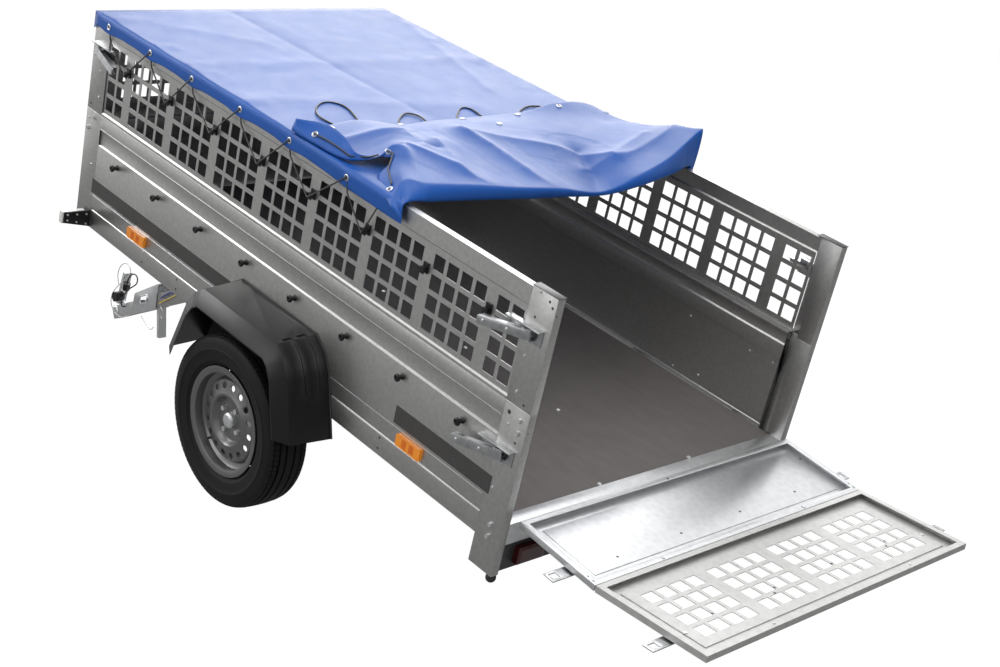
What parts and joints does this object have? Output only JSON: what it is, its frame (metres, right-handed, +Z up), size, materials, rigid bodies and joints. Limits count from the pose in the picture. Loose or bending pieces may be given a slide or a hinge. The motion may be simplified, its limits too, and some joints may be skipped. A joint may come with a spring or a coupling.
{
  "type": "utility trailer",
  "caption": "Single-axle tipping utility trailer with a boxed bed, mesh upper sides, folding tailgate, hanging drawbar and rolled-back cover.",
  "frame": {"origin": "on the ground, in the middle of the parked trailer's box", "axes": "+X towards the drawbar, +Y to the left of travel, +Z up"},
  "size_m": [3.8964, 1.674, 1.573],
  "materials": {
    "galvanised": "galvanised sheet, satin",
    "bright_zinc": "bright zinc plate",
    "plywood": "film-faced plywood, satin",
    "black_plastic": "moulded, matt",
    "rubber": "matt",
    "tyre": "matt rubber",
    "silver_rim": "silver paint",
    "dark_steel": "black paint",
    "amber": "clear amber",
    "red_lens": "clear red",
    "clear_lens": "clear white",
    "tarpaulin": "coated fabric, satin",
    "cable": "satin",
    "pale_cable": "clear sleeve over wire"
  },
  "bodies": {
    "chassis": {"floor_panel": "plywood", "side_board_left": "galvanised", "side_board_right": "galvanised", "front_board": "galvanised", "side_mesh_left": "galvanised", "side_mesh_right": "galvanised", "front_mesh": "galvanised", "corner_posts": "galvanised", "mesh_posts": "galvanised", "post_caps": "black_plastic", "rear_sill": "bright_zinc", "cross_members": "galvanised", "lamp_board": "dark_steel", "rear_lamps": "red_lens", "stoppers": "rubber", "axle_beam": "galvanised", "axle_brackets": "galvanised", "axle_arms": "galvanised", "fender_left": "black_plastic", "fender_right": "black_plastic", "side_markers": "amber", "rope_buttons": "black_plastic", "mesh_hooks": "black_plastic", "latch_plates": "bright_zinc", "latch_levers": "bright_zinc", "lamp_brackets": "black_plastic", "lamp_lenses": "clear_lens", "pivot_ears": "galvanised", "lock_ears": "galvanised", "gate_hinges": "bright_zinc", "cover_top": "tarpaulin", "cover_skirts": "tarpaulin", "cover_fold": "tarpaulin", "cover_cord_left": "cable", "cover_cord_middle": "cable", "cover_cord_right": "cable", "cover_cord_far": "cable"},
    "wheel_left": {"tyre_left": "tyre", "rim_left": "silver_rim", "hub_left": "bright_zinc"},
    "wheel_right": {"tyre_right": "tyre", "rim_right": "silver_rim", "hub_right": "bright_zinc"},
    "drawbar": {"drawbar_beam": "galvanised", "drawbar_nose": "bright_zinc", "coupling_body": "bright_zinc", "coupling_handle": "bright_zinc", "coupling_socket": "black_plastic", "prop_leg": "bright_zinc", "lead_cable": "cable", "lead_plug": "black_plastic", "breakaway_cable": "pale_cable"},
    "tailgate": {"gate_leaf": "bright_zinc", "gate_keepers": "bright_zinc", "gate_knuckles": "bright_zinc", "flap_hinges": "bright_zinc"},
    "mesh_flap": {"flap_panel": "bright_zinc", "flap_keepers": "bright_zinc", "flap_knuckles": "bright_zinc"}
  },
  "joints": [
    {"name": "wheel_left_spin", "type": "hinge", "parent": "chassis", "child": "wheel_left", "pos_m": [-0.08483, 0.743, 0.288], "axis": [0, 1, 0], "continuous": true},
    {"name": "wheel_right_spin", "type": "hinge", "parent": "chassis", "child": "wheel_right", "pos_m": [-0.08483, -0.743, 0.288], "axis": [0, 1, 0], "continuous": true},
    {"name": "drawbar_tip", "type": "hinge", "parent": "chassis", "child": "drawbar", "pos_m": [0.55448, 0, 0.61884], "axis": [0, -1, 0], "range_deg": [0, 32.4]},
    {"name": "tailgate_hinge", "type": "hinge", "parent": "chassis", "child": "tailgate", "pos_m": [-1.24439, 0, 0.18221], "axis": [0, 1, 0], "range_deg": [0, 93.2]},
    {"name": "flap_hinge", "type": "hinge", "parent": "tailgate", "child": "mesh_flap", "pos_m": [-1.55308, 0, 0.07422], "axis": [0, -1, 0], "range_deg": [0, 8.62]}
  ],
  "couplings": [
    {"joint": "flap_hinge", "follows": "tailgate_hinge", "ratio": 0.09248}
  ]
}
